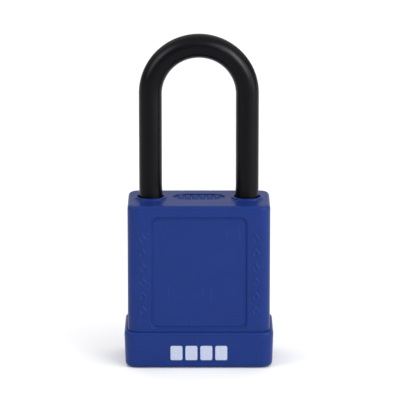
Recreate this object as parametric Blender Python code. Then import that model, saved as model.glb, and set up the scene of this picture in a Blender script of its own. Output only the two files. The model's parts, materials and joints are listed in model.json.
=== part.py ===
"""Safety padlock: a brass lock body in a plastic cover and cap, with a sleeved steel shackle.

Z is up and the origin is at the middle of the underside. The front faces -Y. The shackle's toe leg,
the one that comes out of the body, is at +X and its heel leg at -X. Everything is shown shut and
locked, with the pins of the cylinder held level with the plug's surface, as the right key holds them.
"""

import math

import bmesh
import bpy
from mathutils import Matrix, Vector

MM = 0.001

# Upper cover: a plastic shell, open below
COVER_WIDTH = 38.1 * MM
COVER_DEPTH = 20.1 * MM
COVER_BOTTOM = 1.9 * MM
COVER_TOP = 44.45 * MM
COVER_CORNER = 2.8 * MM
COVER_TOP_FILLET = 1.1 * MM
COVER_WALL = 1.65 * MM
COVER_ROOF = 2.4 * MM
PANEL_WIDTH = 25.6 * MM
PANEL_BOTTOM = 10.7 * MM
PANEL_TOP = 41.35 * MM
PANEL_CORNER = 1.8 * MM
PANEL_DEPTH = 0.4 * MM
BADGE_LENGTH = 14.0 * MM
BADGE_WIDTH = 6.8 * MM
BADGE_CORNER = 3.39 * MM  # a hair under half the width
BADGE_DEPTH = 0.4 * MM
BADGE_Y = 1.7 * MM
COLLAR_RADIUS = 4.25 * MM
COLLAR_HEIGHT = 0.6 * MM
LEG_HOLE_RADIUS = 3.53 * MM
CLIP_LENGTH = 12.0 * MM
CLIP_HEIGHT = 1.0 * MM
CLIP_REACH = 0.45 * MM
CLIP_Z = 6.0 * MM
CLIP_GROOVE_DEPTH = 0.7 * MM
CLIP_GROOVE_PLAY = 0.3 * MM  # round a clip ridge, on each side
CLIP_ROOT = 0.3 * MM  # how far a clip ridge runs into the cap's wall

# Bottom cap: a shallow tray that the cover's lower end sits in
CAP_WIDTH = 40.0 * MM
CAP_DEPTH = 21.9 * MM
CAP_HEIGHT = 9.9 * MM
CAP_CORNER = 3.2 * MM
CAP_TAPER = 0.25 * MM  # how much further in each side is at the foot
CAP_FLOOR = 1.6 * MM
CAP_FILLET = 1.3 * MM
CAP_CLEARANCE = 0.2 * MM  # between the tray's wall and the cover
KEY_OPENING_RADIUS = 6.6 * MM

# Lock body: the brass block that everything inside sits in
BODY_WIDTH = 34.5 * MM
BODY_DEPTH = 16.2 * MM
BODY_BOTTOM = 1.9 * MM
BODY_TOP = 41.5 * MM
BODY_CORNER = 1.2 * MM

# Shackle: a steel bar in a plastic sleeve
LEG_SPACING = 25.87 * MM  # centre to centre
BAR_RADIUS = 2.5 * MM
SLEEVE_INNER_RADIUS = 2.6 * MM
SLEEVE_RADIUS = 3.075 * MM
SLEEVE_SWELL = 0.13 * MM  # how much thicker the sleeve gets at the top of the arch
SLEEVE_FOOT = 41.8 * MM
ARCH_CENTRE = 73.0 * MM
TOE_TIP = 33.3 * MM
TOE_CHAMFER = 0.5 * MM
NOTCH_BOTTOM = 34.9 * MM
NOTCH_TOP = 40.35 * MM
NOTCH_DEPTH = 1.05 * MM
LEG_BORE_RADIUS = 2.75 * MM
TOE_BORE_FLOOR = 31.8 * MM
HEEL_BORE_FLOOR = 6.0 * MM
NECK_RADIUS = 1.6 * MM
NECK_BOTTOM = 16.1 * MM
NECK_TOP = 31.0 * MM
HEEL_END = 14.1 * MM
HEEL_PIN_RADIUS = 1.0 * MM
HEEL_PIN_X = LEG_BORE_RADIUS - LEG_SPACING / 2
HEEL_PIN_Z = 29.8 * MM
CROSS_HOLE_CLEARANCE = 0.15 * MM  # round each cross pin
SHACKLE_SPRING_FOOT = 6.3 * MM
SHACKLE_SPRING_TOP = 13.8 * MM
SHACKLE_SPRING_RADIUS = 2.05 * MM  # to the middle of its wire
SHACKLE_SPRING_WIRE = 0.35 * MM  # the wire's radius

# Cylinder: plug, cam and pins. The pins lie along X, on the +X side of the plug
CYLINDER_RADIUS = 5.5 * MM
PLUG_RADIUS = 5.35 * MM
PLUG_BOTTOM = 2.0 * MM
PLUG_TOP = 28.0 * MM
PLUG_GROOVE_RADIUS = 4.5 * MM
PLUG_GROOVE_Z = 26.5 * MM
PLUG_GROOVE_HEIGHT = 2.0 * MM
PLUG_PIN_RADIUS = 0.8 * MM
PLUG_PIN_X = -5.4 * MM
KEYWAY_LOW_X = -4.2 * MM
KEYWAY_HIGH_X = 3.2 * MM
KEYWAY_HALF_WIDTH = 0.7 * MM
KEYWAY_TOP = 24.6 * MM
WARD_LOW_X = -3.0 * MM
WARD_HIGH_X = -1.3 * MM
WARD_Y = 1.4 * MM
WARD_TOP = 24.0 * MM
PLUG_CHAMFER = 0.3 * MM
CROSS_PIN_HALF_LENGTH = 7.6 * MM
CHAMBER_RADIUS = 1.45 * MM
CHAMBER_START_X = -0.8 * MM
CHAMBER_HEIGHTS = [(6.0 + 3.4 * i) * MM for i in range(6)]
PIN_RADIUS = 1.3 * MM
PIN_CHAMFER = 0.2 * MM
PIN_CONE = 0.8 * MM
KEY_PIN_OUTER_X = 5.1 * MM
KEY_PIN_LENGTHS = [length * MM for length in (3.2, 4.4, 3.8, 5.0, 3.5, 4.1)]
DRIVER_X = 5.55 * MM
DRIVER_LENGTH = 3.5 * MM
PIN_SPRING_X = 9.35 * MM
PIN_SPRING_LENGTH = 4.85 * MM
PIN_SPRING_RADIUS = 1.0 * MM
PIN_SPRING_WIRE = 0.18 * MM
CHAMBER_PLUG_X = 14.5 * MM
CHAMBER_PLUG_LENGTH = 2.7 * MM
CHAMBER_PLUG_RADIUS = 1.38 * MM

# Cam and latches: the cam's two pegs slide the latches apart and together
CAM_BOTTOM = 28.3 * MM
CAM_TOP = 37.6 * MM
TONGUE_HALF_WIDTH = 1.0 * MM
TONGUE_HALF_LENGTH = 3.5 * MM
TONGUE_DEPTH = 1.6 * MM
TONGUE_CLEARANCE = 0.2 * MM  # on each side in its slot
TONGUE_GAP = 0.3 * MM  # from its foot to the floor of its slot
PEG_RADIUS = 0.8 * MM
PEG_ORBIT = 3.18 * MM
PEG_TOP = 40.0 * MM
CHANNEL_BOTTOM = 37.85 * MM
CHANNEL_TOP = 40.4 * MM
CHANNEL_HALF_WIDTH = 5.6 * MM
LATCH_BOTTOM = 38.1 * MM
LATCH_TOP = 40.15 * MM
LATCH_TAIL_X = 0.45 * MM
LATCH_TAIL_Y = (0.3 * MM, 5.0 * MM)
LATCH_SHOULDER_X = 8.7 * MM
LATCH_TIP_X = LEG_SPACING / 2 - BAR_RADIUS + NOTCH_DEPTH - 0.15 * MM
LATCH_NOSE_HALF_WIDTH = 2.2 * MM
LATCH_SLOT_HALF_WIDTH = 1.0 * MM
LATCH_SLOT_Y = 1.1 * MM
CHANNEL_PLUG_X = (16.15 * MM, 17.05 * MM)
CHANNEL_PLUG_HALF_WIDTH = 5.3 * MM

PAST = 2.0 * MM  # how far a cutter runs past the face that it opens
OVERLAP = 0.9 * MM  # how far a joined shape runs into its neighbour
CORNER_STEPS = 6
FILLET_STEPS = 3
ROUND_SIDES = 32
SMALL_SIDES = 16
BAR_SIDES = 20
ARCH_STEPS = 24
SMOOTH_ANGLE = math.radians(35)


# Materials

def linear(channel):
    """A screen colour value from 0 to 255 as linear light."""
    share = channel / 255
    return share / 12.92 if share <= 0.04045 else ((share + 0.055) / 1.055) ** 2.4


def material(name, colour, roughness, metallic=0.0):
    made = bpy.data.materials.new(name)
    made.use_nodes = True
    shader = made.node_tree.nodes["Principled BSDF"]
    shader.inputs["Base Color"].default_value = (*map(linear, colour), 1.0)
    shader.inputs["Roughness"].default_value = roughness
    shader.inputs["Metallic"].default_value = metallic
    return made


# Mesh building

def add_skin(bm, rings, closed=False):
    """Joins rings of equal length in order, and caps the first and last unless the chain is closed."""
    loops = [[bm.verts.new(point) for point in ring] for ring in rings]
    pairs = list(zip(loops, loops[1:]))
    if closed:
        pairs.append((loops[-1], loops[0]))
    count = len(loops[0])
    for lower, upper in pairs:
        for k in range(count):
            after = (k + 1) % count
            bm.faces.new((lower[k], lower[after], upper[after], upper[k]))
    if not closed:
        bm.faces.new(reversed(loops[0]))
        bm.faces.new(loops[-1])


def rounded_outline(width, depth, corner, height, steps=CORNER_STEPS):
    """A rectangle with round corners in plan, anticlockwise seen from above."""
    points = []
    for quarter, (side_x, side_y) in enumerate(((1, 1), (-1, 1), (-1, -1), (1, -1))):
        centre = Vector((side_x * (width / 2 - corner), side_y * (depth / 2 - corner), height))
        for step in range(steps + 1):
            angle = math.radians(90 * (quarter + step / steps))
            points.append(centre + Vector((math.cos(angle), math.sin(angle), 0)) * corner)
    return points


def add_box(bm, low, high):
    """A box between two opposite corners."""
    low, high = Vector(low), Vector(high)
    size = Matrix.Diagonal((*(high - low), 1))
    bmesh.ops.create_cube(bm, size=1, matrix=Matrix.Translation((low + high) / 2) @ size)


def add_turned(bm, profile, sides=SMALL_SIDES, matrix=Matrix()):
    """A solid turned about local Z from (radius, height) points, lowest first."""
    rings = []
    for radius, height in profile:
        turn = [2 * math.pi * k / sides for k in range(sides)]
        rings.append([matrix @ Vector((radius * math.cos(a), radius * math.sin(a), height)) for a in turn])
    add_skin(bm, rings)


def add_rod(bm, radius, start, end, sides=SMALL_SIDES, chamfer=0.0):
    """A round rod between two points."""
    start, end = Vector(start), Vector(end)
    length = (end - start).length
    matrix = Matrix.Translation(start) @ (end - start).to_track_quat("Z", "Y").to_matrix().to_4x4()
    profile = [(radius, 0), (radius, length)]
    if chamfer:
        profile = [(radius - chamfer, 0), (radius, chamfer), (radius, length - chamfer),
                   (radius - chamfer, length)]
    add_turned(bm, profile, sides, matrix)


def add_coil(bm, coil_radius, wire_radius, length, turns, steps=12, sides=6):
    """A round wire wound about local Z, from height 0 to length over its wire."""
    rise = length - 2 * wire_radius
    rings = []
    for step in range(turns * steps + 1):
        angle = 2 * math.pi * step / steps
        outward = Vector((math.cos(angle), math.sin(angle), 0))
        climb = rise / (2 * math.pi * turns)
        tangent = Vector((-math.sin(angle), math.cos(angle), 0)) * coil_radius + Vector((0, 0, climb))
        across = outward.cross(tangent.normalized())
        centre = outward * coil_radius + Vector((0, 0, wire_radius + climb * angle))
        ring = []
        for side in range(sides):
            around = 2 * math.pi * side / sides
            ring.append(centre + (outward * math.cos(around) + across * math.sin(around)) * wire_radius)
        rings.append(ring)
    add_skin(bm, rings)


def mesh_of(name, build, finish):
    """A smooth-shaded mesh with one material, filled by build(bm)."""
    bm = bmesh.new()
    build(bm)
    bmesh.ops.recalc_face_normals(bm, faces=bm.faces)
    mesh = bpy.data.meshes.new(name)
    bm.to_mesh(mesh)
    bm.free()
    mesh.materials.append(finish)
    mesh.shade_smooth()
    mesh.set_sharp_from_angle(angle=SMOOTH_ANGLE)
    return mesh


# Objects

def place(name, mesh, body=None, location=(0, 0, 0), rotation=(0, 0, 0)):
    obj = bpy.data.objects.new(name, mesh)
    bpy.context.scene.collection.objects.link(obj)
    obj.parent = body
    obj.location = location
    obj.rotation_euler = rotation
    return obj


def add_tool(target, operation, label, build):
    """Cuts or joins a hidden helper shape to the target."""
    helper = place(f"{target.name}.{label}", mesh_of(label, build, target.data.materials[0]), target.parent)
    helper.location = target.location
    helper.rotation_euler = target.rotation_euler
    helper.hide_render = True
    helper.display_type = "WIRE"
    modifier = target.modifiers.new(label, "BOOLEAN")
    modifier.operation = operation
    modifier.object = helper


def cut(target, label, build):
    add_tool(target, "DIFFERENCE", label, build)


def join(target, label, build):
    add_tool(target, "UNION", label, build)


def clear_scene():
    for obj in list(bpy.data.objects):
        bpy.data.objects.remove(obj)


# Outside: cover and cap

def cover_shell(bm):
    rings = [rounded_outline(COVER_WIDTH, COVER_DEPTH, COVER_CORNER, COVER_BOTTOM)]
    for step in range(FILLET_STEPS + 1):
        angle = math.radians(90 * step / FILLET_STEPS)
        inset = COVER_TOP_FILLET * (1 - math.cos(angle))
        height = COVER_TOP - COVER_TOP_FILLET * (1 - math.sin(angle))
        rings.append(rounded_outline(
            COVER_WIDTH - 2 * inset, COVER_DEPTH - 2 * inset, COVER_CORNER - inset, height))
    add_skin(bm, rings)


def leg_columns(bm, radius, low, high, sides=ROUND_SIDES):
    """One upright cylinder at each of the shackle's legs."""
    for x in (-LEG_SPACING / 2, LEG_SPACING / 2):
        add_rod(bm, radius, (x, 0, low), (x, 0, high), sides)


def cover_cavity(bm):
    width, depth = COVER_WIDTH - 2 * COVER_WALL, COVER_DEPTH - 2 * COVER_WALL
    corner = COVER_CORNER - COVER_WALL
    add_skin(bm, [rounded_outline(width, depth, corner, height, 3)
                  for height in (COVER_BOTTOM - PAST, COVER_TOP - COVER_ROOF)])


def side_panels(bm):
    """The recess for a label on the front and on the back."""
    height = PANEL_TOP - PANEL_BOTTOM
    middle = (PANEL_TOP + PANEL_BOTTOM) / 2
    for side in (-1, 1):
        lay = Matrix.Translation((0, 0, middle)) @ Matrix.Rotation(side * math.pi / 2, 4, "X")
        floor = -(COVER_DEPTH / 2 - PANEL_DEPTH)
        rings = [[lay @ point for point in rounded_outline(PANEL_WIDTH, height, PANEL_CORNER, level, 4)]
                 for level in (floor - PANEL_DEPTH - PAST, floor)]
        add_skin(bm, rings)


def roof_badge(bm):
    """The long round-ended recess between the legs."""
    levels = (COVER_TOP - BADGE_DEPTH, COVER_TOP + PAST)
    outline = [rounded_outline(BADGE_LENGTH, BADGE_WIDTH, BADGE_CORNER, level) for level in levels]
    add_skin(bm, [[point + Vector((0, BADGE_Y, 0)) for point in ring] for ring in outline])


def clip_bars(bm, length, height, outer_y, inner_y):
    """A bar along each long wall, between two distances from the middle."""
    for side in (-1, 1):
        low, high = sorted((side * outer_y, side * inner_y))
        add_box(bm, (-length / 2, low, CLIP_Z - height / 2), (length / 2, high, CLIP_Z + height / 2))


def make_upper_cover(finish):
    cover = place("upper_cover", mesh_of("upper_cover", cover_shell, finish))
    join(cover, "collars", lambda bm: leg_columns(
        bm, COLLAR_RADIUS, COVER_TOP - COVER_ROOF / 2, COVER_TOP + COLLAR_HEIGHT))
    cut(cover, "cavity", cover_cavity)
    cut(cover, "leg_holes", lambda bm: leg_columns(
        bm, LEG_HOLE_RADIUS, COVER_TOP - COVER_ROOF - PAST, COVER_TOP + COLLAR_HEIGHT + PAST))
    cut(cover, "label_recesses", side_panels)
    cut(cover, "badge_recess", roof_badge)
    cut(cover, "clip_grooves", lambda bm: clip_bars(
        bm, CLIP_LENGTH + 2 * CLIP_GROOVE_PLAY, CLIP_HEIGHT + 2 * CLIP_GROOVE_PLAY,
        COVER_DEPTH / 2 + PAST, COVER_DEPTH / 2 - CLIP_GROOVE_DEPTH))


def cap_tray(bm):
    foot_width, foot_depth = CAP_WIDTH - 2 * CAP_TAPER, CAP_DEPTH - 2 * CAP_TAPER
    rings = []
    for step in range(FILLET_STEPS + 1):
        angle = math.radians(90 * step / FILLET_STEPS)
        inset = CAP_FILLET * (1 - math.sin(angle))
        height = CAP_FILLET * (1 - math.cos(angle))
        rings.append(rounded_outline(
            foot_width - 2 * inset, foot_depth - 2 * inset, CAP_CORNER - inset, height))
    rings.append(rounded_outline(CAP_WIDTH, CAP_DEPTH, CAP_CORNER, CAP_HEIGHT))
    add_skin(bm, rings)


def cap_pocket(bm):
    width, depth = COVER_WIDTH + 2 * CAP_CLEARANCE, COVER_DEPTH + 2 * CAP_CLEARANCE
    corner = COVER_CORNER + CAP_CLEARANCE
    add_skin(bm, [rounded_outline(width, depth, corner, height)
                  for height in (CAP_FLOOR, CAP_HEIGHT + PAST)])


def make_bottom_cap(finish):
    cap = place("bottom_cap", mesh_of("bottom_cap", cap_tray, finish))
    cut(cap, "pocket", cap_pocket)
    cut(cap, "key_opening", lambda bm: add_rod(
        bm, KEY_OPENING_RADIUS, (0, 0, -PAST), (0, 0, CAP_FLOOR + PAST), ROUND_SIDES))
    wall_y = COVER_DEPTH / 2 + CAP_CLEARANCE
    join(cap, "clip_ridges", lambda bm: clip_bars(
        bm, CLIP_LENGTH, CLIP_HEIGHT, wall_y + CLIP_ROOT, wall_y - CLIP_REACH))


# Shackle

def bar_ring(centre, tangent, radius, sides=BAR_SIDES):
    """A ring round the bar, whose middle line stays in the XZ plane."""
    outward = Vector((0, 1, 0)).cross(tangent)
    points = []
    for k in range(sides):
        angle = 2 * math.pi * k / sides
        points.append(centre + (outward * math.cos(angle) + Vector((0, 1, 0)) * math.sin(angle)) * radius)
    return points


def arch_rings(radius, swell=0.0):
    """Rings round the arch, from the toe leg over to the heel leg, thicker by the swell at the top."""
    rings = []
    for step in range(ARCH_STEPS + 1):
        angle = math.pi * step / ARCH_STEPS
        spoke = Vector((math.cos(angle), 0, math.sin(angle)))
        tangent = Vector((-math.sin(angle), 0, math.cos(angle)))
        centre = Vector((0, 0, ARCH_CENTRE)) + spoke * LEG_SPACING / 2
        rings.append(bar_ring(centre, tangent, radius + swell * math.sin(angle)))
    return rings


def leg_ring(side, height, radius):
    """A ring round a leg: the toe leg (side 1) runs up, the heel leg (side -1) down."""
    return bar_ring(Vector((side * LEG_SPACING / 2, 0, height)), Vector((0, 0, side)), radius)


def shackle_bar(bm):
    toe = [leg_ring(1, TOE_TIP, BAR_RADIUS - TOE_CHAMFER), leg_ring(1, TOE_TIP + TOE_CHAMFER, BAR_RADIUS)]
    heel_profile = ((NECK_TOP, BAR_RADIUS), (NECK_TOP, NECK_RADIUS), (NECK_BOTTOM, NECK_RADIUS),
                    (NECK_BOTTOM, BAR_RADIUS), (HEEL_END, BAR_RADIUS))
    heel = [leg_ring(-1, height, radius) for height, radius in heel_profile]
    add_skin(bm, toe + arch_rings(BAR_RADIUS) + heel)


def latch_notches(bm):
    """A flat notch on the inner side of each leg."""
    for side in (-1, 1):
        flat = side * (LEG_SPACING / 2 - BAR_RADIUS + NOTCH_DEPTH)
        low, high = sorted((flat, flat - side * PAST))
        add_box(bm, (low, -BAR_RADIUS - PAST, NOTCH_BOTTOM), (high, BAR_RADIUS + PAST, NOTCH_TOP))


def sleeve_tube(bm):
    def rings(radius, swell):
        return [leg_ring(1, SLEEVE_FOOT, radius), *arch_rings(radius, swell), leg_ring(-1, SLEEVE_FOOT, radius)]

    outside = rings(SLEEVE_RADIUS, SLEEVE_SWELL)
    inside = rings(SLEEVE_INNER_RADIUS, 0)
    add_skin(bm, outside + inside[::-1], closed=True)


def make_shackle(body, steel, plastic):
    shackle = place("shackle", mesh_of("shackle", shackle_bar, steel), body)
    cut(shackle, "notches", latch_notches)
    place("shackle_sleeve", mesh_of("shackle_sleeve", sleeve_tube, plastic), body)


# Lock body

def body_block(bm):
    add_skin(bm, [rounded_outline(BODY_WIDTH, BODY_DEPTH, BODY_CORNER, height, 3)
                  for height in (BODY_BOTTOM, BODY_TOP)])


def pin_chambers(bm, start, end):
    for height in CHAMBER_HEIGHTS:
        add_rod(bm, CHAMBER_RADIUS, (start, 0, height), (end, 0, height))


def cross_pin(bm, radius, chamfer=0.0, reach=CROSS_PIN_HALF_LENGTH):
    """A pin through the body from front to back, about its own middle."""
    add_rod(bm, radius, (0, -reach, 0), (0, reach, 0), SMALL_SIDES, chamfer)


def cross_holes(bm):
    past_faces = BODY_DEPTH / 2 + PAST
    for x, height, radius in (
            (HEEL_PIN_X, HEEL_PIN_Z, HEEL_PIN_RADIUS + CROSS_HOLE_CLEARANCE),
            (PLUG_PIN_X, PLUG_GROOVE_Z, PLUG_PIN_RADIUS + CROSS_HOLE_CLEARANCE)):
        add_rod(bm, radius, (x, -past_faces, height), (x, past_faces, height))


def leg_bores(bm):
    for side, floor in ((1, TOE_BORE_FLOOR), (-1, HEEL_BORE_FLOOR)):
        x = side * LEG_SPACING / 2
        add_rod(bm, LEG_BORE_RADIUS, (x, 0, floor), (x, 0, BODY_TOP + PAST), BAR_SIDES)


def make_lock_body(brass):
    body = place("lock_body", mesh_of("lock_body", body_block, brass))
    cut(body, "leg_bores", leg_bores)
    cut(body, "cylinder_bore", lambda bm: add_rod(
        bm, CYLINDER_RADIUS, (0, 0, BODY_BOTTOM - PAST), (0, 0, CHANNEL_BOTTOM + OVERLAP), ROUND_SIDES))
    cut(body, "latch_channel", lambda bm: add_box(
        bm, (-LEG_SPACING / 2, -CHANNEL_HALF_WIDTH, CHANNEL_BOTTOM),
        (BODY_WIDTH / 2 + PAST, CHANNEL_HALF_WIDTH, CHANNEL_TOP)))
    cut(body, "pin_chambers", lambda bm: pin_chambers(bm, PLUG_RADIUS / 2, BODY_WIDTH / 2 + PAST))
    cut(body, "cross_holes", cross_holes)


# Cylinder

def plug_blank(bm):
    low = PLUG_GROOVE_Z - PLUG_GROOVE_HEIGHT / 2
    high = PLUG_GROOVE_Z + PLUG_GROOVE_HEIGHT / 2
    add_turned(bm, ((PLUG_RADIUS - PLUG_CHAMFER, PLUG_BOTTOM), (PLUG_RADIUS, PLUG_BOTTOM + PLUG_CHAMFER),
                    (PLUG_RADIUS, low), (PLUG_GROOVE_RADIUS, low), (PLUG_GROOVE_RADIUS, high),
                    (PLUG_RADIUS, high), (PLUG_RADIUS, PLUG_TOP)), ROUND_SIDES)


def keyway(bm):
    add_box(bm, (KEYWAY_LOW_X, -KEYWAY_HALF_WIDTH, PLUG_BOTTOM - PAST),
            (KEYWAY_HIGH_X, KEYWAY_HALF_WIDTH, KEYWAY_TOP))


def keyway_ward(bm):
    """The side groove that gives the keyway its stepped shape."""
    add_box(bm, (WARD_LOW_X, 0, PLUG_BOTTOM - PAST), (WARD_HIGH_X, WARD_Y, WARD_TOP))


def drive_slot(bm):
    half_width = TONGUE_HALF_WIDTH + TONGUE_CLEARANCE
    floor = CAM_BOTTOM - TONGUE_DEPTH - TONGUE_GAP
    add_box(bm, (-PLUG_RADIUS - PAST, -half_width, floor),
            (PLUG_RADIUS + PAST, half_width, PLUG_TOP + PAST))


def make_plug(body, brass):
    plug = place("plug", mesh_of("plug", plug_blank, brass), body)
    cut(plug, "keyway", keyway)
    cut(plug, "keyway_ward", keyway_ward)
    cut(plug, "chambers", lambda bm: pin_chambers(bm, CHAMBER_START_X, PLUG_RADIUS + PAST))
    cut(plug, "drive_slot", drive_slot)


def cam_drum(bm):
    add_rod(bm, PLUG_RADIUS, (0, 0, CAM_BOTTOM), (0, 0, CAM_TOP), ROUND_SIDES, PLUG_CHAMFER)


def cam_tongue(bm):
    add_box(bm, (-TONGUE_HALF_LENGTH, -TONGUE_HALF_WIDTH, CAM_BOTTOM - TONGUE_DEPTH),
            (TONGUE_HALF_LENGTH, TONGUE_HALF_WIDTH, CAM_BOTTOM + OVERLAP))


def cam_pegs(bm):
    for degrees in (45, 225):
        x, y = (PEG_ORBIT * turn(math.radians(degrees)) for turn in (math.cos, math.sin))
        add_rod(bm, PEG_RADIUS, (x, y, CAM_TOP - OVERLAP), (x, y, PEG_TOP))


def make_cam(body, steel):
    cam = place("cam", mesh_of("cam", cam_drum, steel), body)
    join(cam, "tongue", cam_tongue)
    join(cam, "pegs", cam_pegs)


def latch_plate(bm):
    """The toe side's latch: a half-width tail that a peg drives, and a nose in the middle."""
    tail_low, tail_high = LATCH_TAIL_Y
    slot_x = PEG_ORBIT * math.cos(math.radians(45))
    left, right = slot_x - LATCH_SLOT_HALF_WIDTH, slot_x + LATCH_SLOT_HALF_WIDTH
    outline = [(LATCH_TAIL_X, tail_low), (LATCH_SHOULDER_X, tail_low),
               (LATCH_SHOULDER_X, -LATCH_NOSE_HALF_WIDTH), (LATCH_TIP_X, -LATCH_NOSE_HALF_WIDTH),
               (LATCH_TIP_X, LATCH_NOSE_HALF_WIDTH), (LATCH_SHOULDER_X, LATCH_NOSE_HALF_WIDTH),
               (LATCH_SHOULDER_X, tail_high), (right, tail_high), (right, LATCH_SLOT_Y),
               (left, LATCH_SLOT_Y), (left, tail_high), (LATCH_TAIL_X, tail_high)]
    add_skin(bm, [[Vector((x, y, level)) for x, y in outline] for level in (LATCH_BOTTOM, LATCH_TOP)])


def key_pin(length):
    """A pin with a cone for the key's cuts, running inward from its flat outer end at the origin."""
    inward = Matrix.Rotation(-math.pi / 2, 4, "Y")
    profile = ((PIN_RADIUS - PIN_CHAMFER, 0), (PIN_RADIUS, PIN_CHAMFER), (PIN_RADIUS, length - PIN_CONE),
               (PIN_RADIUS - PIN_CONE, length))
    return lambda bm: add_turned(bm, profile, 12, inward)


def outward_rod(radius, length, chamfer):
    return lambda bm: add_rod(bm, radius, (0, 0, 0), (length, 0, 0), 12, chamfer)


def make_pin_stacks(plug_body, brass, steel):
    driver = mesh_of("driver_pin", outward_rod(PIN_RADIUS, DRIVER_LENGTH, PIN_CHAMFER), steel)
    spring = mesh_of("pin_spring", lambda bm: add_coil(
        bm, PIN_SPRING_RADIUS, PIN_SPRING_WIRE, PIN_SPRING_LENGTH, 5, 10, 5), steel)
    stopper = mesh_of(
        "chamber_plug", outward_rod(CHAMBER_PLUG_RADIUS, CHAMBER_PLUG_LENGTH, PIN_CHAMFER), brass)
    for number, (height, length) in enumerate(zip(CHAMBER_HEIGHTS, KEY_PIN_LENGTHS), start=1):
        pin = mesh_of(f"key_pin_{number}", key_pin(length), brass)
        place(f"key_pin_{number}", pin, plug_body, (KEY_PIN_OUTER_X, 0, height))
        place(f"driver_pin_{number}", driver, None, (DRIVER_X, 0, height))
        place(f"pin_spring_{number}", spring, None, (PIN_SPRING_X, 0, height), (0, math.pi / 2, 0))
        place(f"chamber_plug_{number}", stopper, None, (CHAMBER_PLUG_X, 0, height))


def make_small_parts(steel, brass):
    heel_pin = mesh_of("heel_retaining_pin", lambda bm: cross_pin(bm, HEEL_PIN_RADIUS, PIN_CHAMFER), steel)
    place("heel_retaining_pin", heel_pin, None, (HEEL_PIN_X, 0, HEEL_PIN_Z))
    plug_pin = mesh_of("plug_retaining_pin", lambda bm: cross_pin(bm, PLUG_PIN_RADIUS, PIN_CHAMFER), steel)
    place("plug_retaining_pin", plug_pin, None, (PLUG_PIN_X, 0, PLUG_GROOVE_Z))
    height = SHACKLE_SPRING_TOP - SHACKLE_SPRING_FOOT
    spring = mesh_of("shackle_spring", lambda bm: add_coil(
        bm, SHACKLE_SPRING_RADIUS, SHACKLE_SPRING_WIRE, height, 5, 14), steel)
    place("shackle_spring", spring, None, (-LEG_SPACING / 2, 0, SHACKLE_SPRING_FOOT))
    low = (CHANNEL_PLUG_X[0], -CHANNEL_PLUG_HALF_WIDTH, LATCH_BOTTOM)
    high = (CHANNEL_PLUG_X[1], CHANNEL_PLUG_HALF_WIDTH, LATCH_TOP)
    place("channel_plug", mesh_of("channel_plug", lambda bm: add_box(bm, low, high), brass))


def main():
    clear_scene()
    cover_blue = material("cover_blue", (44, 63, 129), 0.35)
    sleeve_black = material("sleeve_black", (30, 31, 35), 0.4)
    brass = material("brass", (190, 160, 95), 0.35, 1.0)
    steel = material("steel", (190, 190, 195), 0.3, 1.0)
    spring_steel = material("spring_steel", (150, 152, 158), 0.35, 1.0)
    plug_axis = place("plug_axis", None)
    shackle_slide = place("shackle_slide", None)
    make_upper_cover(cover_blue)
    make_bottom_cap(cover_blue)
    make_shackle(shackle_slide, steel, sleeve_black)
    make_lock_body(brass)
    make_plug(plug_axis, brass)
    make_cam(plug_axis, steel)
    latch = mesh_of("latch", latch_plate, steel)
    place("toe_latch", latch)
    place("heel_latch", latch, rotation=(0, 0, math.pi))
    make_pin_stacks(plug_axis, brass, spring_steel)
    make_small_parts(spring_steel, brass)


main()
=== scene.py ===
"""Looks of the safety padlock: fine meshes, materials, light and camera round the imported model."""
import json
import math

import bmesh
import bpy
from mathutils import Matrix, Vector


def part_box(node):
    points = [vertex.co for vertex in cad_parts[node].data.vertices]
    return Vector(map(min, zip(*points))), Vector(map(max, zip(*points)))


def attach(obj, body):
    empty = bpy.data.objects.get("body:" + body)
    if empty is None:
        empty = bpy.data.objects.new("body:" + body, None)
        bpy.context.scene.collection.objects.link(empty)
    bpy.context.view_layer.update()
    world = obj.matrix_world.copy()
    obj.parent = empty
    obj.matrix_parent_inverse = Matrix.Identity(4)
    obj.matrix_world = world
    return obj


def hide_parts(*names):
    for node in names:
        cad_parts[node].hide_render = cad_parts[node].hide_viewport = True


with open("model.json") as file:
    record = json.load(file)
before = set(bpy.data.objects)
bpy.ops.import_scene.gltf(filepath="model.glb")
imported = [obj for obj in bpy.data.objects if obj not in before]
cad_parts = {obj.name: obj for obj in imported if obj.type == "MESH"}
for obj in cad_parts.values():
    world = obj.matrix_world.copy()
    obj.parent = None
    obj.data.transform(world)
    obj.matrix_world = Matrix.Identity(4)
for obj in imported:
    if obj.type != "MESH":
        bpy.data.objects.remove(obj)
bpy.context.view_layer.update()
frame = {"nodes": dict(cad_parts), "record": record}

MM = 0.001

# ---------------------------------------------------------------- places, from the frame
COVER_LOW, COVER_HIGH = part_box("upper_cover")
CAP_LOW, CAP_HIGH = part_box("bottom_cap")
SLEEVE_LOW, SLEEVE_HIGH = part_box("shackle_sleeve")
BAR_LOW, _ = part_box("shackle")
PLUG_LOW, PLUG_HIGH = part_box("plug")

COLLAR_HEIGHT = 0.6 * MM
ROOF_Z = COVER_HIGH.z - COLLAR_HEIGHT
SLEEVE_SWELL = 0.13 * MM  # how much thicker the sleeve is at the top of its arch
SLEEVE_RADIUS = SLEEVE_HIGH.y - SLEEVE_SWELL
LEG_X = SLEEVE_HIGH.x - SLEEVE_RADIUS
ARCH_Z = SLEEVE_HIGH.z - SLEEVE_HIGH.x - SLEEVE_SWELL

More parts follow.
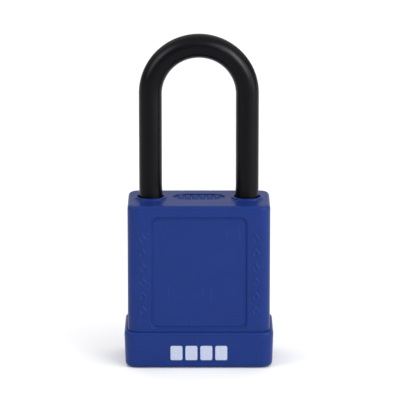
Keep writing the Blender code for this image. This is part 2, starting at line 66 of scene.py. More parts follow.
# ---------------------------------------------------------------- sizes of the moulded detail
COVER_CORNER = 2.8 * MM
COVER_TOP_FILLET = 1.1 * MM
COVER_WALL = 1.65 * MM
ROOF_THICKNESS = 2.4 * MM
PANEL_WIDTH = 25.6 * MM
PANEL_LOW_Z = 10.7 * MM
PANEL_HIGH_Z = 41.35 * MM
PANEL_CORNER = 1.8 * MM
PANEL_DEPTH = 0.4 * MM
BADGE_LENGTH = 14.0 * MM
BADGE_WIDTH = 6.8 * MM
BADGE_CORNER = BADGE_WIDTH / 2 - 0.005 * MM  # a hair under half, so that the ends keep a short straight edge
BADGE_Y = 1.7 * MM
COLLAR_RADIUS = 4.25 * MM
COLLAR_FOOT = 0.3 * MM  # radius where the collar meets the roof
COLLAR_LIP = 0.28 * MM  # radius of its outer top edge
LEG_HOLE_RADIUS = 3.53 * MM
LEG_HOLE_EDGE = 0.2 * MM
BADGE_SIDE = ((0.12, 0), (0.05, -0.02), (0, -0.1), (-0.02, -0.32), (-0.08, -0.39), (-0.16, -0.4))  # mm out, up
BADGE_PIP_COLUMNS = 6
BADGE_PIP_PITCH = (1.95 * MM, 1.6 * MM)
BADGE_PIP_SIZE = (1.6 * MM, 1.15 * MM)
BADGE_PIP_CORNER = 0.5 * MM
BADGE_PIP_SIDE = ((0, -0.5), (0, -0.34), (0.06, -0.22), (0.18, -0.1), (0.32, -0.04), (0.4, -0.03))  # mm in, up
PANEL_EDGE = 0.4 * MM  # how wide the soft edge of the recess is
PANEL_CREASE = 0.14 * MM  # how much deeper the recess is along the foot of its edge
FINE_PITCH = 0.1 * MM  # between the wall's points where it has moulded detail
COARSE_PITCH = 1.5 * MM
DETAIL_MARGIN = 0.4 * MM  # how far the fine points run past a raised mark
CORNER_MARGIN = 0.9 * MM  # and inside the start of the recess's corners
STUD_X = 15.1 * MM
STUD_HALF_WIDTH = 0.9 * MM
STUD_HALF_HEIGHT = 1.15 * MM
STUD_STROKE = 0.34 * MM
STUD_SOFT = 0.26 * MM
STUD_PROUD = 0.17 * MM
STUD_LOW_Z = 15.7 * MM
STUD_PITCH = 3.96 * MM
STUD_ROWS = 6
CAP_CORNER = 3.2 * MM
CAP_TAPER = 0.25 * MM
CAP_FLOOR = 1.6 * MM
CAP_FILLET = 1.3 * MM
CAP_CLEARANCE = 0.08 * MM
CAP_RIM_INSET = 0.62 * MM
CAP_RIM_DROP = 0.9 * MM
CAP_MOUTH = ((0.12, 0), (0.03, -0.04), (0, -0.15))  # mm out and up, round the mouth's inner edge
KEY_OPENING_RADIUS = 6.6 * MM
KEY_OPENING_EDGE = 0.3 * MM
MARKS = 4
MARK_Z = 4.3 * MM
MARK_HEIGHT = 4.0 * MM
MARK_WIDTH = 3.2 * MM
MARK_PITCH = 4.0 * MM
MARK_CORNER = 0.45 * MM
MARK_SIDE = ((-0.02, 0), (0.012, 0), (0.022, 0.03))  # mm out from the cap, in from the mark's outline

# ---------------------------------------------------------------- light and camera
FLOOR_Z = -0.05 * MM
FLOOR_HALF_SIZE = 4.0
LIGHT_AIM = (0, 0, 0.07)
LIGHT_RIGHT = (0.57, -0.70, 0.49)
LIGHT_LEFT = (-0.72, -0.48, 0.57)
LIGHT_SIDE = (0.55, -0.2, 0.15)
ROLL_RIGHT, ROLL_LEFT = -67, 62  # how far the lights turn about their own axes, in degrees
DOME = (0.30, 0.60, 0.47, 1.2)  # low and high sine of the elevation, and the brightness at each
CAMERA_ELEVATION = 13.18
CAMERA_DISTANCE = 0.85
CAMERA_TARGET = (0.30 * MM, 0, 43.88 * MM)
CAMERA_LENS = 285.0
CAMERA_SENSOR = 36
CAMERA_CLIP = (0.01, 20)

# ---------------------------------------------------------------- sizes of the shackle and plug
SLEEVE_BORE = 2.6 * MM
SLEEVE_FLARE = 0.18 * MM  # how much the sleeve thickens towards the inside of its foot
SLEEVE_FLARE_HEIGHT = 4 * MM
SLEEVE_FOOT = ((0, -0.2), (0.06, -0.06), (0.2, 0))  # mm up and out, round the foot's edge
BAR_RADIUS = 2.5 * MM
BAR_EDGE = 0.12 * MM
TOE_TIP = ((0, -0.5), (0.15, -0.18), (0.5, 0))  # mm up and out, round the toe leg's tip
TOE_TIP_Z = 33.3 * MM
NOTCH_LOW_Z = 34.9 * MM
NOTCH_HIGH_Z = 40.35 * MM
NOTCH_DEPTH = 1.05 * MM
NECK_RADIUS = 1.6 * MM
NECK_LOW_Z = 16.1 * MM
NECK_HIGH_Z = 31.0 * MM
PLUG_CHAMFER = 0.3 * MM
PLUG_EDGE = 0.07 * MM
GROOVE_LOW_Z = 25.5 * MM
GROOVE_HIGH_Z = 27.5 * MM
GROOVE_RADIUS = 4.5 * MM
KEYWAY_HALF_WIDTH = 0.7 * MM
KEYWAY_LOW_X = -4.2 * MM
KEYWAY_HIGH_X = 3.2 * MM
KEYWAY_TOP_Z = 24.6 * MM
WARD_LOW_X = -3.0 * MM
WARD_HIGH_X = -1.3 * MM
WARD_DEPTH = 1.4 * MM
WARD_TOP_Z = 24.0 * MM
CHAMBERS = 6
CHAMBER_RADIUS = 1.45 * MM
CHAMBER_LOW_Z = 6.0 * MM
CHAMBER_PITCH = 3.4 * MM
CHAMBER_START_X = -0.8 * MM
TANG_SLOT_HALF_WIDTH = 1.2 * MM
TANG_SLOT_LOW_Z = 26.4 * MM
BEYOND = 1.0 * MM  # how far a cutter runs past the face it cuts


# ---------------------------------------------------------------- mesh helpers
def outline(width, depth, corner, height, steps=10):
    """A rectangle with round corners, anticlockwise seen from above."""
    points = []
    for quarter, (side_x, side_y) in enumerate(((1, 1), (-1, 1), (-1, -1), (1, -1))):
        centre = Vector((side_x * (width / 2 - corner), side_y * (depth / 2 - corner), height))
        for step in range(steps + 1):
            angle = math.radians(90 * (quarter + step / steps))
            points.append(centre + Vector((math.cos(angle), math.sin(angle), 0)) * corner)
    return points


def circle(radius, height, count, centre=(0, 0)):
    turns = [2 * math.pi * k / count for k in range(count)]
    return [Vector((centre[0] + radius * math.cos(a), centre[1] + radius * math.sin(a), height)) for a in turns]


def add_loop(bm, ring):
    return [bm.verts.new(point) for point in ring]


def bridge(bm, loops):
    """Joins each loop to the next with a band of four-sided faces."""
    for lower, upper in zip(loops, loops[1:]):
        for k in range(len(lower)):
            after = (k + 1) % len(lower)
            bm.faces.new((lower[k], lower[after], upper[after], upper[k]))


def fill_between(bm, *loops):
    """Fills the flat area between an outer loop and the loops inside it."""
    edges = [bm.edges.get((loop[k - 1], loop[k])) for loop in loops for k in range(len(loop))]
    bmesh.ops.triangle_fill(bm, edges=edges, use_beauty=True)


def add_skin(bm, rings, closed=False):
    loops = [add_loop(bm, ring) for ring in rings]
    if closed:
        bridge(bm, [*loops, loops[0]])
    else:
        bridge(bm, loops)
        bm.faces.new(reversed(loops[0]))
        bm.faces.new(loops[-1])


def piece(name, build):
    """A new object whose mesh is filled by build(bm)."""
    bm = bmesh.new()
    build(bm)
    bmesh.ops.recalc_face_normals(bm, faces=bm.faces)
    mesh = bpy.data.meshes.new(name)
    bm.to_mesh(mesh)
    bm.free()
    obj = bpy.data.objects.new(name, mesh)
    bpy.context.scene.collection.objects.link(obj)
    return obj


def skin_piece(name, rings, closed=False):
    return piece(name, lambda bm: add_skin(bm, rings, closed))


def apply_modifiers(obj):
    graph = bpy.context.evaluated_depsgraph_get()
    mesh = bpy.data.meshes.new_from_object(obj.evaluated_get(graph))
    obj.modifiers.clear()
    obj.data = mesh


def combine(target, helper, operation):
    """Cuts or joins the helper shape, which is then removed."""
    modifier = target.modifiers.new(operation, "BOOLEAN")
    modifier.operation = operation
    modifier.solver = "EXACT"
    modifier.object = helper
    apply_modifiers(target)
    bpy.data.objects.remove(helper)


def round_edges(obj, width):
    bevel = obj.modifiers.new("round_edges", "BEVEL")
    bevel.width = width
    bevel.segments = 2
    bevel.limit_method = "ANGLE"
    bevel.angle_limit = math.radians(40)
    bevel.miter_outer = "MITER_ARC"
    apply_modifiers(obj)


def smooth(obj, angle):
    """Smooth shading, with edges sharper than the angle kept sharp."""
    obj.data.shade_smooth()
    obj.data.set_sharp_from_angle(angle=math.radians(angle))
    weighted = obj.modifiers.new("weighted_normals", "WEIGHTED_NORMAL")
    weighted.keep_sharp = True
    weighted.weight = 100
    apply_modifiers(obj)


def box_between(low, high):
    low, high = Vector(low), Vector(high)
    size = Matrix.Diagonal((*(high - low), 1))
    return piece("box", lambda bm: bmesh.ops.create_cube(
        bm, size=1, matrix=Matrix.Translation((low + high) / 2) @ size))


# ---------------------------------------------------------------- cover
def grid_lines(low, high, coarse, fine_spans):
    """Places from low to high, closer together inside each (start, end) span."""
    places = [low]
    for start, end in [*fine_spans, (high, high)]:
        for stop, step in ((start, coarse), (end, FINE_PITCH)):
            begin = places[-1]
            count = round((stop - begin) / step + 0.49)  # rounded up, and none for no distance
            places += [begin + (stop - begin) * (k + 1) / count for k in range(count)]
    return places


def perimeter(across, along, corner, inset, steps=10):
    """(x, y, side) round the cover, anticlockwise from the front; side is -1 or 1 on the front and back."""
    half_width, half_depth = COVER_HIGH.x - corner, COVER_HIGH.y - corner
    radius = corner - inset
    points = []
    for quarter, (side_x, side_y) in enumerate(((1, -1), (1, 1), (-1, 1), (-1, -1))):
        if quarter % 2 == 0:
            points += [(-side_y * x, side_y * (half_depth + radius), side_y) for x in across[1:-1]]
        else:
            points += [(side_x * (half_width + radius), side_x * y, 0) for y in along[1:-1]]
        for step in range(steps + 1):
            angle = math.radians(90 * (quarter - 1 + step / steps))
            points.append((side_x * half_width + radius * math.cos(angle),
                           side_y * half_depth + radius * math.sin(angle), 0))
    return points


def ease(share):
    """A smooth step from 0 to 1."""
    share = min(1, max(0, share))
    return share * share * (3 - 2 * share)


def recess_depth(x, z):
    """How far the label recess goes in at a place on the front or back."""
    from_middle_x = abs(x) - (PANEL_WIDTH / 2 - PANEL_CORNER)
    from_middle_z = abs(z - (PANEL_LOW_Z + PANEL_HIGH_Z) / 2) - ((PANEL_HIGH_Z - PANEL_LOW_Z) / 2 - PANEL_CORNER)
    beyond = math.hypot(max(from_middle_x, 0), max(from_middle_z, 0)) + min(max(from_middle_x, from_middle_z), 0)
    outside = beyond - PANEL_CORNER
    step = PANEL_DEPTH * ease((PANEL_EDGE / 2 - outside) / PANEL_EDGE)
    return step + PANEL_CREASE * ease(1 - abs(outside + PANEL_EDGE) / PANEL_EDGE)


def stud_height(x, z):
    """How far a raised hollow lozenge stands out at a place on the front or back."""
    row = min(STUD_ROWS - 1, max(0, round((z - STUD_LOW_Z) / STUD_PITCH)))
    across, up = abs(abs(x) - STUD_X), abs(z - STUD_LOW_Z - row * STUD_PITCH)
    diagonal = math.hypot(STUD_HALF_WIDTH, STUD_HALF_HEIGHT)
    from_line = abs(across * STUD_HALF_HEIGHT + up * STUD_HALF_WIDTH
                    - STUD_HALF_WIDTH * STUD_HALF_HEIGHT) / diagonal
    return STUD_PROUD * ease((STUD_STROKE / 2 + STUD_SOFT / 2 - from_line) / STUD_SOFT)


def cover_walls():
    """The rings of the side walls, from the foot up, with the recesses and raised marks in them."""
    straight_x, straight_y = COVER_HIGH.x - COVER_CORNER, COVER_HIGH.y - COVER_CORNER
    edge = PANEL_EDGE / 2 + FINE_PITCH
    corner = PANEL_CORNER + CORNER_MARGIN
    spans = [(PANEL_WIDTH / 2 - corner, PANEL_WIDTH / 2 + edge),
             (STUD_X - STUD_HALF_WIDTH - DETAIL_MARGIN, straight_x - FINE_PITCH)]
    across = grid_lines(0, straight_x, COARSE_PITCH, spans)
    across = [-x for x in reversed(across[1:])] + across
    along = grid_lines(-straight_y, straight_y, 2 * COARSE_PITCH, [])
    spans = [(PANEL_LOW_Z - edge, PANEL_LOW_Z + corner)]
    for row in range(STUD_ROWS):
        middle = STUD_LOW_Z + row * STUD_PITCH
        half = STUD_HALF_HEIGHT + DETAIL_MARGIN
        spans.append((middle - half, middle + half))
    spans.append((PANEL_HIGH_Z - corner, PANEL_HIGH_Z + edge))
    heights = grid_lines(COVER_LOW.z, ROOF_Z - COVER_TOP_FILLET, COARSE_PITCH, spans)
    plan = perimeter(across, along, COVER_CORNER, 0)
    rings = []
    for z in heights:
        ring = []
        for x, y, side in plan:
            out = stud_height(x, z) - recess_depth(x, z) if side else 0
            ring.append(Vector((x, y + side * out, z)))
        rings.append(ring)
    steps = 10
    for step in range(1, steps + 1):
        angle = math.radians(90 * step / steps)
        inset = COVER_TOP_FILLET * (1 - math.cos(angle))
        height = ROOF_Z - COVER_TOP_FILLET * (1 - math.sin(angle))
        rings.append([Vector((x, y, height)) for x, y, _ in perimeter(across, along, COVER_CORNER, inset)])
    cavity = [(x, y) for x, y, _ in perimeter(across, along, COVER_CORNER, COVER_WALL)]
    inner = [[Vector((x, y, level)) for x, y in cavity] for level in (COVER_LOW.z, ROOF_Z - ROOF_THICKNESS)]
    return rings, inner


def quarter_turn(centre, radius, start, end, steps):
    """(radius, height) points on an arc about a centre, between two angles in degrees."""
    angles = [math.radians(start + (end - start) * step / steps) for step in range(steps + 1)]
    return [(centre[0] + radius * math.cos(a), centre[1] + radius * math.sin(a)) for a in angles]


def collar_profile():
    """From the roof up over the collar's rounded lip and down the leg's hole to the roof's underside."""
    foot, lip, edge = COLLAR_FOOT, COLLAR_LIP, LEG_HOLE_EDGE
    top = ROOF_Z + COLLAR_HEIGHT
    return (quarter_turn((COLLAR_RADIUS + foot, ROOF_Z + foot), foot, 270, 180, 6)
            + quarter_turn((COLLAR_RADIUS - lip, top - lip), lip, 0, 90, 7)
            + quarter_turn((LEG_HOLE_RADIUS + edge, top - edge), edge, 90, 180, 4)
            + [(LEG_HOLE_RADIUS, ROOF_Z - ROOF_THICKNESS)])


def badge_rings():
    """From the roof down the side of the round-ended recess to its floor."""
    rings = []
    for out, up in BADGE_SIDE:
        grow = out * MM
        flat = outline(BADGE_LENGTH + 2 * grow, BADGE_WIDTH + 2 * grow, BADGE_CORNER + grow, ROOF_Z + up * MM, 16)
        rings.append([p + Vector((0, BADGE_Y, 0)) for p in flat])
    return rings


def cover_mesh(bm):
    walls, inner = cover_walls()
    inside = [add_loop(bm, ring) for ring in inner]
    outside = [add_loop(bm, ring) for ring in walls]
    bridge(bm, [inside[1], inside[0], *outside])
    collars = []
    for side in (-1, 1):
        rings = [circle(radius, height, 72, (side * LEG_X, 0)) for radius, height in collar_profile()]
        collars.append([add_loop(bm, ring) for ring in rings])
        bridge(bm, collars[-1])
    badge = [add_loop(bm, ring) for ring in badge_rings()]
    bridge(bm, badge)
    fill_between(bm, outside[-1], collars[0][0], collars[1][0], badge[0])
    fill_between(bm, inside[1], collars[0][-1], collars[1][-1])
    bm.faces.new(badge[-1])


def badge_pips(column):
    """A column of three plain rounded pips on the badge's floor."""
    x = (column - (BADGE_PIP_COLUMNS - 1) / 2) * BADGE_PIP_PITCH[0]
    width, length = BADGE_PIP_SIZE

    def build(bm):
        for row in (-1, 0, 1):
            middle = Vector((x, BADGE_Y + row * BADGE_PIP_PITCH[1], 0))
            rings = []
            for inside, up in BADGE_PIP_SIDE:
                inset = inside * MM
                flat = outline(width - 2 * inset, length - 2 * inset, BADGE_PIP_CORNER - inset, ROOF_Z + up * MM, 6)
                rings.append([p + middle for p in flat])
            add_skin(bm, rings)
    return piece(f"badge_pips_{column + 1}", build)


def make_cover():
    cover = piece("cover_shell", cover_mesh)
    smooth(cover, 50)
    pips = [badge_pips(column) for column in range(BADGE_PIP_COLUMNS)]
    for column in pips:
        smooth(column, 50)
    return [cover, *pips]


# ---------------------------------------------------------------- cap
def cap_mesh(bm):
    """A tray with rounded edges and a round opening in its floor for the key."""
    width, depth, top = CAP_HIGH.x - CAP_LOW.x, CAP_HIGH.y - CAP_LOW.y, CAP_HIGH.z
    foot_width, foot_depth = width - 2 * CAP_TAPER, depth - 2 * CAP_TAPER
    rings = []
    steps = 10
    for step in range(steps + 1):
        angle = math.radians(90 * step / steps)
        inset = CAP_FILLET * (1 - math.sin(angle))
        rings.append(outline(foot_width - 2 * inset, foot_depth - 2 * inset, CAP_CORNER - inset,
                             CAP_FILLET * (1 - math.cos(angle))))
    for step in range(steps + 1):
        angle = math.radians(90 * step / steps)
        inset = CAP_RIM_INSET * (1 - math.cos(angle))
        rings.append(outline(width - 2 * inset, depth - 2 * inset, CAP_CORNER - inset,
                             top - CAP_RIM_DROP * (1 - math.sin(angle))))
    inner_width = COVER_HIGH.x - COVER_LOW.x + 2 * CAP_CLEARANCE
    inner_depth = COVER_HIGH.y - COVER_LOW.y + 2 * CAP_CLEARANCE
    corner = COVER_CORNER + CAP_CLEARANCE
    for grow, level in [(out * MM, top + up * MM) for out, up in CAP_MOUTH] + [(0, CAP_FLOOR)]:
        rings.append(outline(inner_width + 2 * grow, inner_depth + 2 * grow, corner + grow, level))
    shell = [add_loop(bm, ring) for ring in rings]
    bridge(bm, shell)
    edge = KEY_OPENING_EDGE
    profile = quarter_turn((KEY_OPENING_RADIUS + edge, edge), edge, 270, 180, 5) + [(KEY_OPENING_RADIUS, CAP_FLOOR)]
    opening = [add_loop(bm, circle(radius, height, 96)) for radius, height in profile]
    bridge(bm, opening)
    fill_between(bm, shell[0], opening[0])
    fill_between(bm, shell[-1], opening[-1])


def make_cap():
    cap = piece("cap_shell", cap_mesh)
    smooth(cap, 35)
    return cap


def cap_front_y(z):
    """Where the cap's tapered front face is at a height."""
    share = (z - CAP_FILLET) / (CAP_HIGH.z - CAP_FILLET)
    return CAP_LOW.y + CAP_TAPER * (1 - share)


def make_marks():
    """Plain white blocks printed on the cap's front."""
    marks = []
    for number in range(MARKS):
        x = (number - (MARKS - 1) / 2) * MARK_PITCH
        flat = outline(MARK_WIDTH, MARK_HEIGHT, MARK_CORNER, 0, 6)
        rings = []
        for out, inset in MARK_SIDE:
            ring = []
            for p in flat:
                z = MARK_Z + p.y * (1 - inset * MM / MARK_HEIGHT)
                ring.append(Vector((x + p.x * (1 - inset * MM / MARK_WIDTH), cap_front_y(z) - out * MM, z)))
            rings.append(ring)
        mark = skin_piece(f"print_mark_{number + 1}", rings)
        smooth(mark, 60)
        marks.append(mark)
    return marks


# ---------------------------------------------------------------- shackle
def bar_ring(centre, tangent, radius, sides):
    """A circle of points round the bar's middle line."""
    outward = Vector((0, 1, 0)).cross(tangent)
    return [centre + (outward * math.cos(2 * math.pi * k / sides)
                      + Vector((0, 1, 0)) * math.sin(2 * math.pi * k / sides)) * radius for k in range(sides)]


def arch_rings(radius, swell, steps, sides):
    """Rings over the arch from the toe leg to the heel leg, thicker by the swell at the top."""
    rings = []
    for step in range(steps + 1):
        angle = math.pi * step / steps
        spoke = Vector((math.cos(angle), 0, math.sin(angle)))
        tangent = Vector((-math.sin(angle), 0, math.cos(angle)))
        thicker = radius + swell * math.sin(angle)
        rings.append(bar_ring(Vector((0, 0, ARCH_Z)) + spoke * LEG_X, tangent, thicker, sides))
    return rings


def leg_ring(side, height, radius, sides):
    return bar_ring(Vector((side * LEG_X, 0, height)), Vector((0, 0, side)), radius, sides)


def make_sleeve():
    """A tube over the bar, thickened a little towards the inside of each leg at its foot."""
    sides, steps = 64, 72
    foot = SLEEVE_LOW.z
    flare_top = ROOF_Z + SLEEVE_FLARE_HEIGHT
    stations = [(foot + up * MM, out * MM) for up, out in SLEEVE_FOOT] + [(ROOF_Z, 0)]
    stations += [(ROOF_Z + SLEEVE_FLARE_HEIGHT * share / 8, 0) for share in range(1, 9)]
    stations += [(flare_top + (ARCH_Z - flare_top) * share, 0) for share in (0.3, 0.6, 0.9)]

    def leg(side):
        rings = []
        for height, grow in stations:
            thicker = SLEEVE_FLARE / 2 * ease((flare_top - height) / SLEEVE_FLARE_HEIGHT)
            inward = Vector((-side * thicker, 0, 0))
            rings.append([p + inward for p in leg_ring(side, height, SLEEVE_RADIUS + thicker + grow, sides)])
        return rings

    outer = leg(1) + arch_rings(SLEEVE_RADIUS, SLEEVE_SWELL, steps, sides) + leg(-1)[::-1]
    inside = arch_rings(SLEEVE_BORE, 0, steps, sides)
    inside = [leg_ring(1, foot, SLEEVE_BORE, sides), *inside, leg_ring(-1, foot, SLEEVE_BORE, sides)]
    sleeve = skin_piece("sleeve_skin", outer + inside[::-1], closed=True)
    smooth(sleeve, 50)
    return sleeve


def make_bar():
    sides, steps = 48, 48
    toe_rings = [leg_ring(1, TOE_TIP_Z + up * MM, BAR_RADIUS + out * MM, sides) for up, out in TOE_TIP]
    heel_profile = ((NECK_HIGH_Z, BAR_RADIUS), (NECK_HIGH_Z, NECK_RADIUS), (NECK_LOW_Z, NECK_RADIUS),
                    (NECK_LOW_Z, BAR_RADIUS), (BAR_LOW.z, BAR_RADIUS))
    heel_rings = [leg_ring(-1, height, radius, sides) for height, radius in heel_profile]
    bar = skin_piece("bar_skin", toe_rings + arch_rings(BAR_RADIUS, 0, steps, sides) + heel_rings)
    for side in (-1, 1):
        flat = side * (LEG_X - BAR_RADIUS + NOTCH_DEPTH)
        low, high = sorted((flat, flat - side * (NOTCH_DEPTH + BEYOND)))
        reach = BAR_RADIUS + BEYOND
        combine(bar, box_between((low, -reach, NOTCH_LOW_Z), (high, reach, NOTCH_HIGH_Z)), "DIFFERENCE")
    round_edges(bar, BAR_EDGE)
    smooth(bar, 40)
    return bar


# ---------------------------------------------------------------- plug
def make_plug():
    low, high, radius = PLUG_LOW.z, PLUG_HIGH.z, PLUG_HIGH.y
    profile = [(radius - PLUG_CHAMFER, low), (radius, low + PLUG_CHAMFER), (radius, GROOVE_LOW_Z),
               (GROOVE_RADIUS, GROOVE_LOW_Z), (GROOVE_RADIUS, GROOVE_HIGH_Z), (radius, GROOVE_HIGH_Z), (radius, high)]
    plug = skin_piece("plug_skin", [circle(r, z, 96) for r, z in profile])
    below = low - BEYOND
    combine(plug, box_between((KEYWAY_LOW_X, -KEYWAY_HALF_WIDTH, below),
                              (KEYWAY_HIGH_X, KEYWAY_HALF_WIDTH, KEYWAY_TOP_Z)), "DIFFERENCE")
    combine(plug, box_between((WARD_LOW_X, 0, below), (WARD_HIGH_X, WARD_DEPTH, WARD_TOP_Z)), "DIFFERENCE")
    turn = Matrix.Rotation(math.pi / 2, 4, "Y")
    for number in range(CHAMBERS):
        middle = Vector((0, 0, CHAMBER_LOW_Z + CHAMBER_PITCH * number))
        ends = [circle(CHAMBER_RADIUS, level, 32) for level in (CHAMBER_START_X, radius + BEYOND)]
        chamber = skin_piece("chamber", [[turn @ p + middle for p in ring] for ring in ends])
        combine(plug, chamber, "DIFFERENCE")
    reach = radius + BEYOND
    combine(plug, box_between((-reach, -TANG_SLOT_HALF_WIDTH, TANG_SLOT_LOW_Z),
                              (reach, TANG_SLOT_HALF_WIDTH, high + BEYOND)), "DIFFERENCE")
    round_edges(plug, PLUG_EDGE)
    smooth(plug, 40)
    return plug


# ---------------------------------------------------------------- materials
class Nodes:
    """A short way to build a material's node tree."""

    def __init__(self, name):
        self.material = bpy.data.materials.new(name)
        self.material.use_nodes = True
        self.tree = self.material.node_tree
        self.shader = self.tree.nodes["Principled BSDF"]
        self.coordinates = self.add("ShaderNodeTexCoord").outputs["Object"]

    def add(self, kind, **settings):
        node = self.tree.nodes.new(kind)
        for key, value in settings.items():
            setattr(node, key, value)
        return node

    def link(self, output, socket):
        self.tree.links.new(output, socket)

    def noise(self, cells_mm, detail, stretch=(1, 1, 1)):
        """Noise whose cells are about this many millimetres across."""
        mapping = self.add("ShaderNodeMapping")
        mapping.inputs["Scale"].default_value = [1 / (cells_mm * MM) * s for s in stretch]
        self.link(self.coordinates, mapping.inputs["Vector"])
        noise = self.add("ShaderNodeTexNoise")
        noise.inputs["Scale"].default_value = 1.0
        noise.inputs["Detail"].default_value = detail
        noise.inputs["Roughness"].default_value = 0.55
        self.link(mapping.outputs["Vector"], noise.inputs["Vector"])
        return noise.outputs["Fac"]

    def range(self, value, low, high, to_low, to_high):
        node = self.add("ShaderNodeMapRange")
        for socket, number in zip(("From Min", "From Max", "To Min", "To Max"), (low, high, to_low, to_high)):
            node.inputs[socket].default_value = number
        self.link(value, node.inputs["Value"])
        return node.outputs["Result"]

    def mix(self, share, first, second):
        """Mixes two colours, each a socket or a tuple, by a socket's value."""
        node = self.add("ShaderNodeMix", data_type="RGBA")
        for socket, colour in ((node.inputs[6], first), (node.inputs[7], second)):
            if isinstance(colour, tuple):
                socket.default_value = (*colour, 1)
            else:
                self.link(colour, socket)
        self.link(share, node.inputs[0])
        return node.outputs[2]

    def bump(self, height, distance_mm, strength, under=None):
        node = self.add("ShaderNodeBump")
        node.inputs["Distance"].default_value = distance_mm * MM
        node.inputs["Strength"].default_value = strength
        self.link(height, node.inputs["Height"])
        if under:
            self.link(under, node.inputs["Normal"])
        return node.outputs["Normal"]

    def finish(self, colour, roughness, normal):
        self.link(colour, self.shader.inputs["Base Color"])
        self.link(roughness, self.shader.inputs["Roughness"])
        self.link(normal, self.shader.inputs["Normal"])
        return self.material


def linear(red, green, blue):
    """A screen colour, from 0 to 255 a channel, as the linear values that shaders take."""
    def one(channel):
        share = channel / 255
        return share / 12.92 if share <= 0.04045 else ((share + 0.055) / 1.055) ** 2.4
    return tuple(one(channel) for channel in (red, green, blue))


def moulded_plastic(name, dark, light, roughness, specular, grain_mm):
    """Injection-moulded plastic: slight mottling, fine grain, soft flow marks, rub marks and specks."""
    n = Nodes(name)
    n.shader.inputs["Specular IOR Level"].default_value = specular
    mottle = n.range(n.noise(9, 4), 0.3, 0.7, 0.0, 1.0)
    colour = n.mix(mottle, dark, light)
    worn = tuple(c * 1.5 + 0.01 for c in light)
    scratch = n.range(n.noise(0.5, 2, (1, 1, 0.06)), 0.68, 0.80, 0.0, 0.6)
    colour = n.mix(scratch, colour, worn)
    speck = n.range(n.noise(0.8, 1), 0.75, 0.81, 0.0, 0.8)
    colour = n.mix(speck, colour, worn)
    rough = n.range(n.noise(6.0, 2), 0.3, 0.7, roughness - 0.03, roughness + 0.03)
    grain = n.bump(n.noise(grain_mm, 2), 0.002, 0.6)
    waves = n.bump(n.noise(11, 1), 0.05, 0.25, grain)
    return n.finish(colour, rough, waves)


def metal(name, dark, light, roughness, stretch=(1, 1, 1)):
    """Machined metal, with its marks drawn out along an axis when stretched."""
    n = Nodes(name)
    n.shader.inputs["Metallic"].default_value = 1.0
    colour = n.mix(n.range(n.noise(2.5, 4), 0.3, 0.7, 0.0, 1.0), dark, light)
    rough = n.range(n.noise(0.4, 3, stretch), 0.3, 0.7, roughness - 0.07, roughness + 0.1)
    normal = n.bump(n.noise(0.12, 2, stretch), 0.004, 0.5)
    return n.finish(colour, rough, normal)


def printed_ink():
    n = Nodes("white_ink")
    n.shader.inputs["Specular IOR Level"].default_value = 0.3
    colour = n.mix(n.range(n.noise(0.6, 3), 0.35, 0.65, 0.0, 1.0), (0.40, 0.445, 0.58), (0.46, 0.505, 0.64))
    rough = n.range(n.noise(0.5, 3), 0.3, 0.7, 0.45, 0.6)
    return n.finish(colour, rough, n.bump(n.noise(0.15, 2), 0.004, 0.5))


# ---------------------------------------------------------------- stage, light, camera
def make_stage():
    floor = piece("floor", lambda bm: bmesh.ops.create_grid(bm, x_segments=8, y_segments=8, size=FLOOR_HALF_SIZE))
    floor.location.z = FLOOR_Z
    n = Nodes("pale_floor")
    colour = n.mix(n.range(n.noise(60, 3), 0.3, 0.7, 0.0, 1.0), (0.92, 0.92, 0.925), (0.94, 0.94, 0.943))
    n.finish(colour, n.range(n.noise(20, 3), 0.3, 0.7, 0.7, 0.8), n.bump(n.noise(2, 2), 0.01, 0.2))
    floor.data.materials.append(n.material)


def area_light(name, place, size, radiance, roll=0):
    """A softbox aimed at the shackle, bright enough to give the radiance."""
    data = bpy.data.lights.new(name, "AREA")
    data.shape = "RECTANGLE"
    data.size, data.size_y = size
    data.energy = radiance * math.pi * size[0] * size[1]
    lamp = bpy.data.objects.new(name, data)
    bpy.context.scene.collection.objects.link(lamp)
    lamp.visible_camera = False
    aim = (Vector(LIGHT_AIM) - Vector(place)).to_track_quat("-Z", "Y").to_matrix().to_4x4()
    lamp.matrix_world = Matrix.Translation(place) @ aim @ Matrix.Rotation(math.radians(roll), 4, "Z")
    return lamp


def gloss_light(receivers, *settings):
    """A softbox that only shows as a highlight on the pieces in a collection."""
    lamp = area_light(*settings)
    lamp.visible_diffuse = False
    lamp.light_linking.receiver_collection = receivers


def make_lights(sleeve):
    """A white dome, dimmer near the horizon, with softboxes in front on both sides."""
    world = bpy.data.worlds.new("studio")
    bpy.context.scene.world = world
    world.use_nodes = True
    tree = world.node_tree
    background = tree.nodes["Background"]
    background.inputs["Color"].default_value = (1, 1, 1, 1)
    direction = tree.nodes.new("ShaderNodeTexCoord")
    split = tree.nodes.new("ShaderNodeSeparateXYZ")
    ramp = tree.nodes.new("ShaderNodeMapRange")
    ramp.interpolation_type = "SMOOTHSTEP"
    for socket, value in zip(("From Min", "From Max", "To Min", "To Max"), DOME):
        ramp.inputs[socket].default_value = value
    tree.links.new(direction.outputs["Generated"], split.inputs["Vector"])
    tree.links.new(split.outputs["Z"], ramp.inputs["Value"])
    tree.links.new(ramp.outputs["Result"], background.inputs["Strength"])
    area_light("softbox_right", LIGHT_RIGHT, (0.65, 0.45), 4, ROLL_RIGHT)
    area_light("softbox_left", LIGHT_LEFT, (0.55, 0.30), 3, ROLL_LEFT)
    area_light("side_right", LIGHT_SIDE, (0.25, 0.35), 4)
    receivers = bpy.data.collections.new("gloss_receivers")
    receivers.objects.link(sleeve)
    gloss_light(receivers, "gloss_right", LIGHT_RIGHT, (0.50, 0.28), 46, ROLL_RIGHT)
    gloss_light(receivers, "gloss_left", LIGHT_LEFT, (0.50, 0.22), 24, ROLL_LEFT)


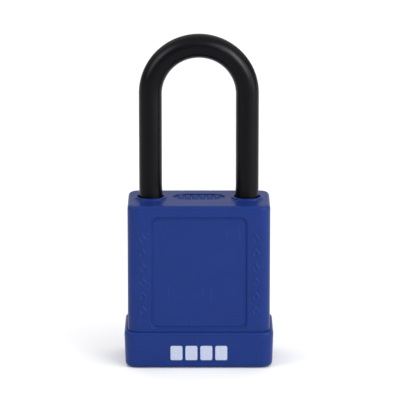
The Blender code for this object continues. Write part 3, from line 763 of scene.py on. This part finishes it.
def make_camera():
    elevation = math.radians(CAMERA_ELEVATION)
    away = Vector((0, -math.cos(elevation), math.sin(elevation)))
    data = bpy.data.cameras.new("camera")
    data.lens = CAMERA_LENS
    data.sensor_width = CAMERA_SENSOR
    data.clip_start, data.clip_end = CAMERA_CLIP
    camera = bpy.data.objects.new("camera", data)
    bpy.context.scene.collection.objects.link(camera)
    camera.location = Vector(CAMERA_TARGET) + away * CAMERA_DISTANCE
    camera.rotation_euler = (math.radians(90) - elevation, 0, 0)
    bpy.context.scene.camera = camera


# ---------------------------------------------------------------- assembly
def dress(obj, material, body, slot, *nodes):
    """Gives a piece its material and body, and hides the CAD nodes that it takes the place of; the slot is not used.
    """
    obj.data.materials.clear()
    obj.data.materials.append(material)
    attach(obj, body)
    if nodes:
        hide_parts(*nodes)


def main():
    bpy.context.scene.view_settings.view_transform = "Standard"
    make_camera()
    make_stage()
    blue = moulded_plastic("blue_plastic", (0.0055, 0.0232, 0.145), (0.0065, 0.0260, 0.158),
                           roughness=0.33, specular=0.15, grain_mm=0.35)
    black = moulded_plastic("black_plastic", (0.0005, 0.0005, 0.0020), (0.0009, 0.0008, 0.0028),
                            roughness=0.30, specular=0.105, grain_mm=0.5)
    brass = metal("brass", linear(178, 140, 72), linear(200, 164, 94), 0.32)
    steel = metal("hard_steel", linear(172, 174, 178), linear(196, 198, 202), 0.28, (1, 1, 0.1))
    wire = metal("spring_steel", linear(140, 142, 148), linear(165, 167, 172), 0.34)
    ink = printed_ink()

    cover, *pips = make_cover()
    dress(cover, blue, "case", "blue_cover", "upper_cover")
    for column in pips:
        dress(column, blue, "case", "blue_cover")
    dress(make_cap(), blue, "case", "blue_cover", "bottom_cap")
    for mark in make_marks():
        dress(mark, ink, "case", "blue_cover")
    sleeve = make_sleeve()
    dress(sleeve, black, "shackle_assembly", "black_sleeve", "shackle_sleeve")
    make_lights(sleeve)
    dress(make_bar(), steel, "shackle_assembly", "hard_steel", "shackle")
    dress(make_plug(), brass, "plug_and_cam", "brass", "plug")

    finishes = {"brass": brass, "hard_steel": steel, "spring_steel": wire, "blue_cover": blue, "black_sleeve": black}
    slots = {entry["node"]: entry["material_slot"] for entry in frame["record"]["subparts"]}
    for name, obj in frame["nodes"].items():
        obj.data.materials.clear()
        obj.data.materials.append(finishes[slots[name]])


main()
